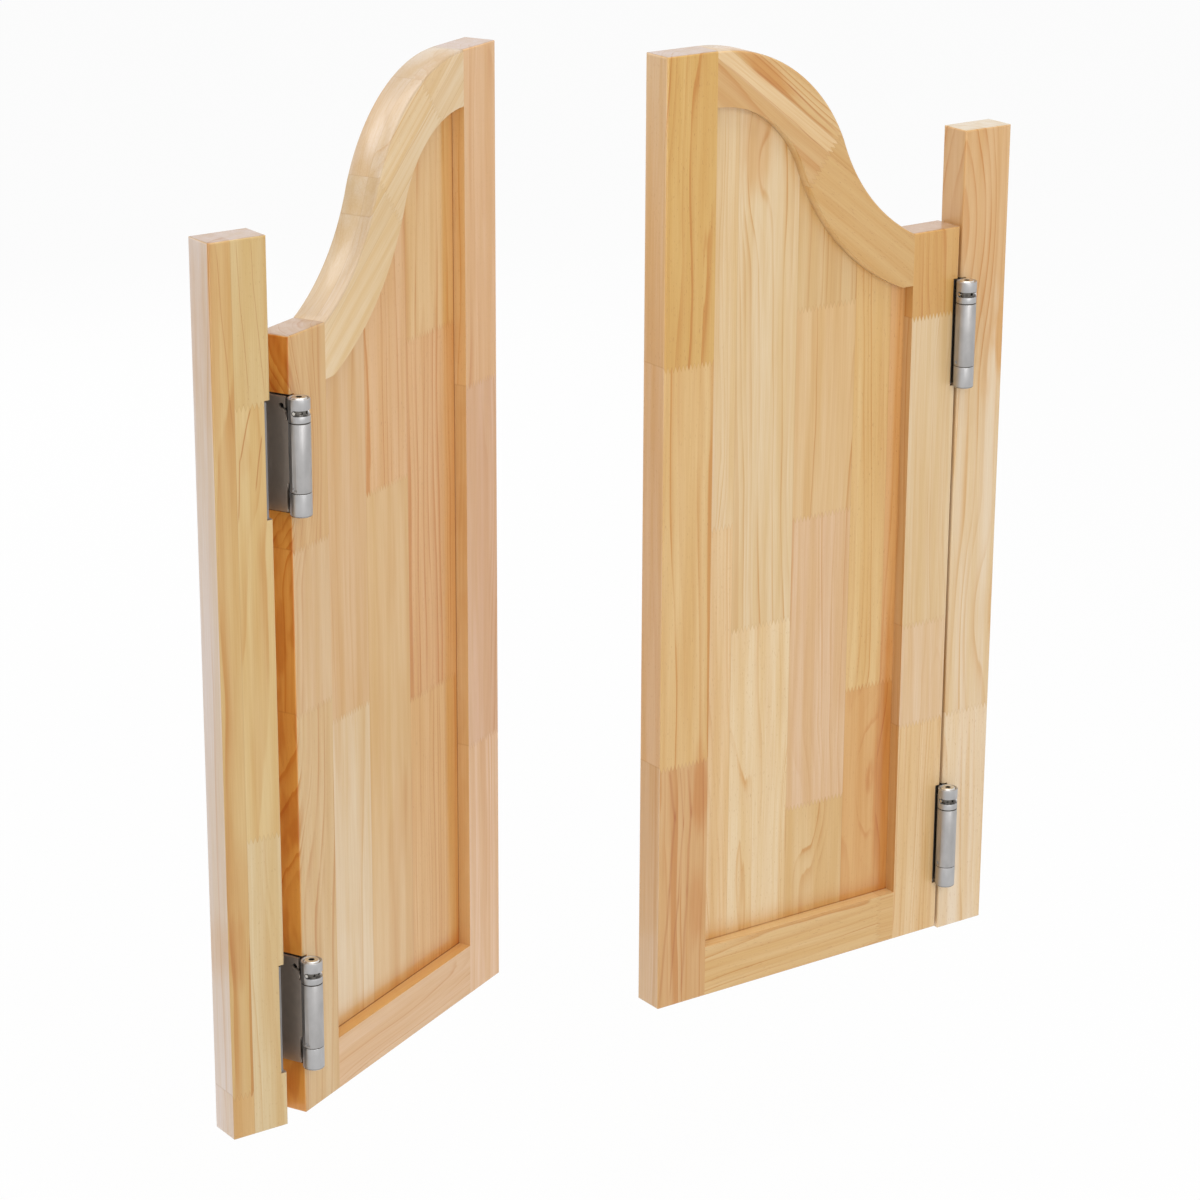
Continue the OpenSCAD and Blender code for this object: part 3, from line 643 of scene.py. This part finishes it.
WOODS = {
    "left_post": dict(
        to_board=to_post_left, edges=(21,), joints=((40,), (276, 658)),
        tones=(("toffee", "wheat"), ("flax", "reed", "corn")),
        seed=11.0, contrast=1.8, lean=3.0, spread=2.2,
        swells=((40, 610, 22, 90, -9), (44, 250, 20, 80, 8)),
        streaks=((26, 799, 35, 661, 0.7, 0.6), (40, 799, 50, 662, 0.7, 0.6), (7, 799, 20, 630, 0.8, 0.5),
                 (36, 657, 24, 612, 1.2, 1.0), (24, 616, 22, 560, 1.0, 0.9), (46, 632, 39, 585, 1.0, 0.9)),
        patches=((4, 720, 6, 110, 0.4), (15, 760, 7, 80, 0.3), (8, 176, 13, 34, 0.5), (14, 236, 9, 50, 0.3)),
        # painted reflection: the outer side takes a pale chalk tone, standing for the white room glancing
        # off its lacquer
        faces=(END_GRAIN_AND_SHEEN, Face(LEFTWARD, "chalk", 0.9))),
    "right_post": dict(
        to_board=to_post_right, joints=((226,),),
        tones=(("linen", "petal"),),
        seed=23.0, contrast=1.8, lean=2.0, spread=1.5,
        swells=((50, 705, 60, 170, -26), (18, 330, 40, 120, 12)),
        patches=((30, 745, 100, 190, 0.8), (2, 590, 9, 40, 0.7)),
        # painted highlight: the post's top takes a near-white tone standing for the sheen on its end grain
        faces=(Face(UP, "end_pale", 0.95),)),
    "left_free_stile": dict(
        to_board=to_leaf_left, joints=((250, 595),),
        tones=(("blossom", "blush", "peach"),), seed=31.0,
        # painted shade: the reveal beside the panel takes a warmer, darker tone
        faces=(END_GRAIN_AND_SHEEN, Face(LEFT_HINGEWARD, "dune", 0.85, 0.15))),
    "right_free_stile": dict(
        to_board=to_leaf_right, joints=((240, 620),),
        tones=(("tan", "ochre", "brass"),),
        seed=47.0, contrast=1.8, spread=1.6,
        streaks=((11, 238, 18, 185, 2.4, 0.5), (18, 198, 12, 112, 2.4, 0.5), (13, 125, 2, 5, 2.4, 0.5),
                 (23, 238, 28, 175, 1.5, 0.45), (28, 190, 22, 96, 1.5, 0.45), (23, 112, 13, 5, 1.5, 0.45),
                 (32, 238, 37, 185, 2.4, 0.5), (37, 200, 32, 105, 2.4, 0.5), (33, 120, 27, 5, 2.4, 0.5)),
        patches=((46, 212, 10, 48, 0.9), (44, 95, 9, 42, 0.6)),
        # painted light: the narrow outer side takes a paler tone, making up for the less light it gets
        faces=(END_GRAIN_AND_SHEEN, Face(LEFTWARD, "husk", 0.95))),
    "left_hinge_stile": dict(
        to_board=to_leaf_left, span=(285, 340), joints=((373, 520),),
        tones=(("caramel", "sand", "hazel"),),
        seed=53.0, contrast=1.5,
        swells=((336, 600, 50, 120, 26), (345, 190, 64, 170, -22)),
        faces=(HINGE_STILE_TOP, Face(LEFT_HINGEWARD, "burnt", 0.9, 0.6))),
    "right_hinge_stile": dict(
        to_board=to_leaf_right, span=(285, 340), joints=((222, 324, 626),),
        tones=(("butter", "nude", "custard", "sorrel"),), seed=61.0,
        # painted shade: the side of the recess beside the panel takes a darker orange tone
        faces=(HINGE_STILE_TOP, Face(LEFTWARD, "amber", 0.7))),
    "left_panel": dict(
        to_board=to_leaf_left, edges=(137, 206, 272), span=(47, 293),
        joints=((321, 655), (533,), (342,), ()),
        tones=(("honey", "ginger", "barley"), ("straw", "peach"), ("pearl", "almond"), ("peach",)),
        seed=71.0, contrast=1.2, spread=1.4,
        # painted shade and a painted shadow line where the panel meets the free stile and the bottom rail
        borders=((0, 55, 0.6, 0.85), (1, 50, 0.9, 0.9))),
    "right_panel": dict(
        to_board=to_leaf_right, edges=(89, 158, 227, 269), span=(47, 293),
        joints=((458,), (355,), (162, 450, 650), (268,), (268,)),
        tones=(("butter", "cream"), ("cream", "cream"), ("oat", "rose", "straw", "oat"),
               ("copper", "maize"), ("copper", "apricot")), seed=83.0,
        swells=((110, 790, 26, 100, 14), (188, 160, 45, 90, 12), (256, 170, 40, 120, 14)),
        patches=((108, 805, 20, 44, 0.6), (150, 850, 30, 30, 0.5), (277, 170, 13, 170, 0.8)),
        # painted shade and a painted shadow line where the panel meets the hinge stile and the bottom rail
        borders=((0, 285, 0.2, 0.2), (1, 50, 0.6, 0.6))),
    "left_bottom_rail": dict(
        to_board=to_leaf_left, grain=0.0, span=(-50, 0),
        tones=(("peach",),), seed=97.0,
        # painted light: the rail's top takes a brighter golden tone, as lit from above
        faces=(Face(UP, "gold", 0.85),)),
    "right_bottom_rail": dict(
        to_board=to_leaf_right, grain=0.0, span=(-50, 0), joints=((267,),),
        tones=(("ochre", "fawn"),),
        seed=101.0, contrast=2.2, spread=0.7,
        # painted light: the rail's top takes a paler tone, as lit from above
        faces=(Face(UP, "wax", 0.85),)),
    "left_top_rail": dict(
        to_board=to_leaf_left, grain=142.0, edges=(722, 745), span=(690, 770), layers=(11,),
        joints=((345,), (345, 445), (345, 445)),
        tones=(("milk", "cream"), ("milk", "cream", "cream"), ("cream", "cream", "cream"),
               ("milk", "bisque"), ("milk", "bisque", "cream"), ("milk", "bisque", "cream")),
        seed=113.0, contrast=0.6, lean=0.5,
        # painted shade: the crest and its eased edges take a greyer, darker tone that tones down the strong
        # light and sheen on them
        faces=(CREST_TOP, Face(LEFT_CREST, "shell", 0.6),
               *(Face(eased, "shell", 0.7) for eased in LEFT_EASED))),
    "right_top_rail": dict(
        to_board=to_leaf_right, grain=142.0, edges=(738, 751), span=(690, 780),
        joints=((346,), (346,), (346,)),
        tones=(("toffee", "biscuit"), ("toffee", "butter"), ("toffee", "oat")),
        seed=127.0, contrast=1.3,
        streaks=((752.5, 470, 752.5, 347, 1.6, 0.7), (762, 430, 757, 347, 1.4, 0.6),
                 (738.5, 500, 738.5, 347, 0.9, 0.6)),
        patches=((758, 452, 9, 44, 1.0),),
        # painted light: the arch's underside takes a paler tone that lifts its shade
        faces=(CREST_TOP, Face(RIGHT_ARCH, "wax", 0.85))),
}

# The panels' edges are hidden in their grooves
for node_name, look in WOODS.items():
    dress([node_name], pine("pine_" + node_name, **look), 0.0 if "panel" in node_name else TIMBER_EDGE)

# The two sides of the doorway, with how places on their leaves are found
SIDES = {"left": to_leaf_left, "right": to_leaf_right}
HINGES = [f"{side}_{level}" for side in SIDES for level in ("upper", "lower")]

SATIN = srgb(185, 184, 184)
LINK_SATIN = srgb(181, 179, 178)
# painted shade: the flanges' flat sheets, which lie in their notches, are darker than the barrels
FLANGE_SHADE = srgb(134, 131, 130)
# painted light and reflection: the links' webs between leaf and post are paler and warmer, standing for wood
# reflected in them
WEB_REFLECTION = srgb(212, 198, 184)


def at_each_barrel(part):
    """Names of a turned part's nodes, two for each hinge."""
    return [f"{hinge}_{end}_{part}" for hinge in HINGES for end in ("post", "door")]


def on_each_timber(part):
    """Names of a fastening's nodes, one for each post and leaf."""
    return [f"{side}_{timber}_{part}" for side in SIDES for timber in ("post", "leaf")]


dress([f"{side}_leaf_dowels" for side in SIDES],
      pine("beech_dowels", to_post_left, tones=(("tan",),), grain=0.0, contrast=0.3))
# the flanges and links take the painted shade and light of their sheets' tones
dress([f"{hinge}_post_flange" for hinge in HINGES],
      steel("satin_post_flange", SATIN, 0.45, sheet=(to_post_left, FLANGE_SHADE)), SHEET_METAL_EDGE)
for hinge_side, to_leaf in SIDES.items():
    own_hinges = [hinge for hinge in HINGES if hinge.startswith(hinge_side)]
    dress([f"{hinge}_door_flange" for hinge in own_hinges],
          steel(f"satin_{hinge_side}_flange", SATIN, 0.45, sheet=(to_leaf, FLANGE_SHADE)), SHEET_METAL_EDGE)
    dress([f"{hinge}_link" for hinge in own_hinges],
          steel(f"satin_{hinge_side}_link", LINK_SATIN, 0.48, sheet=(to_leaf, WEB_REFLECTION)), SHEET_METAL_EDGE)
dress(at_each_barrel("spindle"), steel("turned_spindle", srgb(178, 176, 172), 0.25))
# painted light and shade: the adjuster's upward faces are bright and its other faces dark, as light from
# above makes them
dress(at_each_barrel("adjuster"),
      steel("turned_adjuster", srgb(232, 231, 228), 0.33, side=srgb(110, 106, 101)), ADJUSTER_EDGE)
dress(at_each_barrel("spring"), steel("spring_wire", srgb(110, 110, 112), 0.35))
dress(on_each_timber("screws"), steel("screw_steel", srgb(180, 178, 172), 0.3))
dress(on_each_timber("stop_pins"), steel("pin_steel", srgb(205, 202, 196), 0.22))
dress([f"{side}_link_washers" for side in SIDES], steel("oiled_washer", srgb(84, 80, 74), 0.4))

# ---------- floor, world and lamps, in metres ----------

FLOOR_Z = -0.62
FLOOR_HALF = 30.0
FLOOR_PAINT = (0.9, 0.9, 0.9, 1)
WHITE = (1, 1, 1, 1)
FLOOR_SEEN_WHITE = 0.94
WORLD_STRENGTH = 0.52


def seen(g):
    """1 for what the camera, a reflection or a refraction sees, 0 for what lights the object."""
    path = g.node("ShaderNodeLightPath").outputs
    glossy = g.math("MAXIMUM", path["Is Glossy Ray"], path["Is Transmission Ray"])
    return g.math("MAXIMUM", path["Is Camera Ray"], glossy)


def floor_material():
    """Matt pale paint that is seen as nearly white."""
    made = bpy.data.materials.new("floor")
    made.use_nodes = True
    made.node_tree.nodes.clear()
    g = Graph(made.node_tree)
    matt = g.node("ShaderNodeBsdfDiffuse", {"Color": FLOOR_PAINT}).outputs[0]
    white = g.node("ShaderNodeEmission", {"Color": WHITE, "Strength": 1.0}).outputs[0]
    share = g.math("MULTIPLY", seen(g), FLOOR_SEEN_WHITE)
    both = g.node("ShaderNodeMixShader", {0: share, 1: matt, 2: white})
    g.node("ShaderNodeOutputMaterial", {0: both.outputs[0]})
    return made


def make_floor():
    mesh = bpy.data.meshes.new("floor")
    corners = [(x * FLOOR_HALF, y * FLOOR_HALF, FLOOR_Z) for x, y in ((-1, -1), (1, -1), (1, 1), (-1, 1))]
    mesh.from_pydata(corners, [], [(0, 1, 2, 3)])
    mesh.materials.append(floor_material())
    floor = bpy.data.objects.new("floor", mesh)
    bpy.context.scene.collection.objects.link(floor)


def make_world():
    """Even light from all round, seen as white."""
    world = bpy.data.worlds.new("studio")
    bpy.context.scene.world = world
    world.use_nodes = True
    world.node_tree.nodes.clear()
    g = Graph(world.node_tree)
    light = g.node("ShaderNodeBackground", {0: WHITE, 1: WORLD_STRENGTH}).outputs[0]
    white = g.node("ShaderNodeBackground", {0: WHITE, 1: 1.0}).outputs[0]
    both = g.node("ShaderNodeMixShader", {0: seen(g), 1: light, 2: white})
    g.node("ShaderNodeOutputWorld", {0: both.outputs[0]})


def area_light(name, place, aim, size, watts, glossy=True):
    """Softbox that looks at a place; one that isn't glossy leaves no glare."""
    data = bpy.data.lights.new(name, "AREA")
    data.shape = "RECTANGLE"
    data.size, data.size_y = size
    data.energy = watts
    lamp = bpy.data.objects.new(name, data)
    lamp.location = place
    lamp.rotation_euler = (Vector(aim) - Vector(place)).to_track_quat("-Z", "Y").to_euler()
    lamp.visible_camera = False
    lamp.visible_glossy = glossy
    bpy.context.scene.collection.objects.link(lamp)


MIDDLE = (0.42, 0.0, 0.0)
LEFT_CREST_PLACE = (0.25, 0.1, 0.42)

make_floor()
make_world()
area_light("top_softbox", (0.3, -0.3, 2.6), MIDDLE, (2.4, 2.4), 36.0)
area_light("front_softbox", (-0.3, -3.4, 1.4), MIDDLE, (2.2, 1.8), 45.0)
area_light("back_softbox", (1.3, 3.3, 1.2), MIDDLE, (2.2, 1.8), 26.0, glossy=False)
area_light("left_softbox", (-1.05, 0.86, 2.33), LEFT_CREST_PLACE, (1.1, 0.7), 7.0)

# ---------- camera, fitted to the photograph ----------

FOCAL_PX = 3700
FRAME_PX = 1200
SENSOR_MM = 36.0
YAW = math.radians(35.41)
PITCH = math.radians(18.78)
ROLL = math.radians(0.27)
EYE = (-1.423, -2.564, 1.086)
SEES_TO = 100


def make_camera():
    data = bpy.data.cameras.new("camera")
    data.sensor_width = SENSOR_MM
    data.lens = FOCAL_PX / FRAME_PX * SENSOR_MM
    data.clip_end = SEES_TO
    ahead = Vector((math.sin(YAW) * math.cos(PITCH), math.cos(YAW) * math.cos(PITCH), -math.sin(PITCH)))
    right = Vector((math.cos(YAW), -math.sin(YAW), 0))
    up = right.cross(ahead)
    tilted_right = right * math.cos(ROLL) + up * math.sin(ROLL)
    tilted_up = up * math.cos(ROLL) - right * math.sin(ROLL)
    turn = Matrix((tilted_right, tilted_up, -ahead)).transposed()
    camera = bpy.data.objects.new("camera", data)
    camera.matrix_world = Matrix.Translation(EYE) @ turn.to_4x4()
    bpy.context.scene.collection.objects.link(camera)
    bpy.context.scene.camera = camera


make_camera()
bpy.context.scene.view_settings.view_transform = "Standard"
